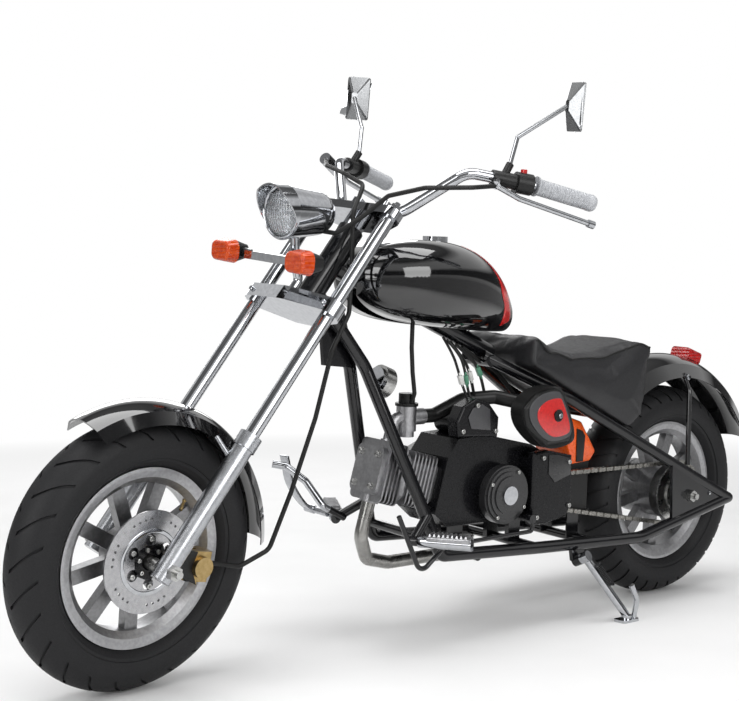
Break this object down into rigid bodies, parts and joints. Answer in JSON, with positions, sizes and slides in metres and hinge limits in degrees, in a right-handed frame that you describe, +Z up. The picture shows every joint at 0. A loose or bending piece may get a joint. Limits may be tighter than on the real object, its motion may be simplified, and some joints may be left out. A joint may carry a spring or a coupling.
{
  "type": "chopper motorcycle",
  "caption": "Small hardtail chopper motorcycle with a long raked fork, cast wheels, pull-back bar, teardrop tank and an exposed finned engine, leaning on its side stand.",
  "frame": {"origin": "on the ground under the centre of the parked machine's box", "axes": "+X forward along the machine, +Y to the rider's left, +Z up; the machine leans left on its side stand"},
  "size_m": [1.977, 0.683, 1.2052],
  "materials": {
    "frame_paint": "black enamel",
    "gloss_black": "high gloss black lacquer",
    "engine_black": "satin black engine paint",
    "cast_alloy": "bead blasted casting",
    "satin_alloy": "polished satin",
    "chrome": "bright plating",
    "zinc_steel": "zinc plated",
    "exhaust_steel": "dull grey steel",
    "chain_steel": "oiled steel",
    "disc_steel": "ground steel",
    "gold_alloy": "gold anodised",
    "black_plastic": "moulded",
    "orange_plastic": "moulded",
    "red_lens": "moulded lens",
    "amber_lens": "moulded lens",
    "lamp_glass": "fluted lens",
    "seat_leather": "black grained cover",
    "grip_rubber": "light grey ribbed",
    "hose_rubber": "black sheath",
    "tyre": "road tyre"
  },
  "bodies": {
    "frame": {"frame": "frame_paint", "rear_axle": "zinc_steel", "crankcase": "engine_black", "cylinder": "cast_alloy", "magneto_cover": "engine_black", "sprocket_cover": "engine_black", "starter_cover": "engine_black", "clutch_cover": "engine_black", "carburettor": "cast_alloy", "air_filter": "black_plastic", "battery": "orange_plastic", "exhaust": "exhaust_steel", "fuel_tank": "gloss_black", "fuel_cap": "chrome", "fuel_hose": "hose_rubber", "seat": "seat_leather", "rear_fender": "gloss_black", "tail_lamp": "red_lens", "foot_pegs": "chrome", "brake_pedal": "chrome", "shift_linkage": "frame_paint", "drive_chain": "chain_steel", "brake_plate": "cast_alloy", "horn": "zinc_steel"},
    "steering": {"steering_stem": "chrome", "top_clamp": "chrome", "stanchions": "chrome", "fork_lowers": "satin_alloy", "front_axle": "zinc_steel", "front_fender": "gloss_black", "brake_caliper": "gold_alloy", "headlamp": "chrome", "headlamp_lens": "lamp_glass", "signal_bar": "black_plastic", "signal_lenses": "amber_lens", "handlebar": "chrome", "grips": "grip_rubber", "left_controls": "black_plastic", "right_controls": "black_plastic", "mirrors": "chrome", "brake_hose": "hose_rubber", "control_cables": "hose_rubber"},
    "front_wheel": {"front_tyre": "tyre", "front_rim": "cast_alloy", "front_disc": "disc_steel"},
    "rear_wheel": {"rear_tyre": "tyre", "rear_rim": "cast_alloy", "rear_sprocket": "zinc_steel"},
    "side_stand": {"side_stand": "chrome"}
  },
  "joints": [
    {"name": "steering", "type": "hinge", "parent": "frame", "child": "steering", "pos_m": [0.72287, -0.03575, 0.23711], "axis": [-0.6018, 0.0446, 0.7974], "range_deg": [-42, 28]},
    {"name": "front_wheel_spin", "type": "hinge", "parent": "steering", "child": "front_wheel", "pos_m": [0.73952, -0.0325, 0.24949], "axis": [-0.0973, 0.9869, -0.1286], "continuous": true},
    {"name": "rear_wheel_spin", "type": "hinge", "parent": "frame", "child": "rear_wheel", "pos_m": [-0.68036, -0.03505, 0.24972], "axis": [0, 0.9984, -0.0558], "continuous": true},
    {"name": "side_stand_fold", "type": "hinge", "parent": "frame", "child": "side_stand", "pos_m": [-0.30536, 0.09616, 0.14223], "axis": [-0.155, 0.8957, 0.4168], "range_deg": [-118, 0]}
  ]
}
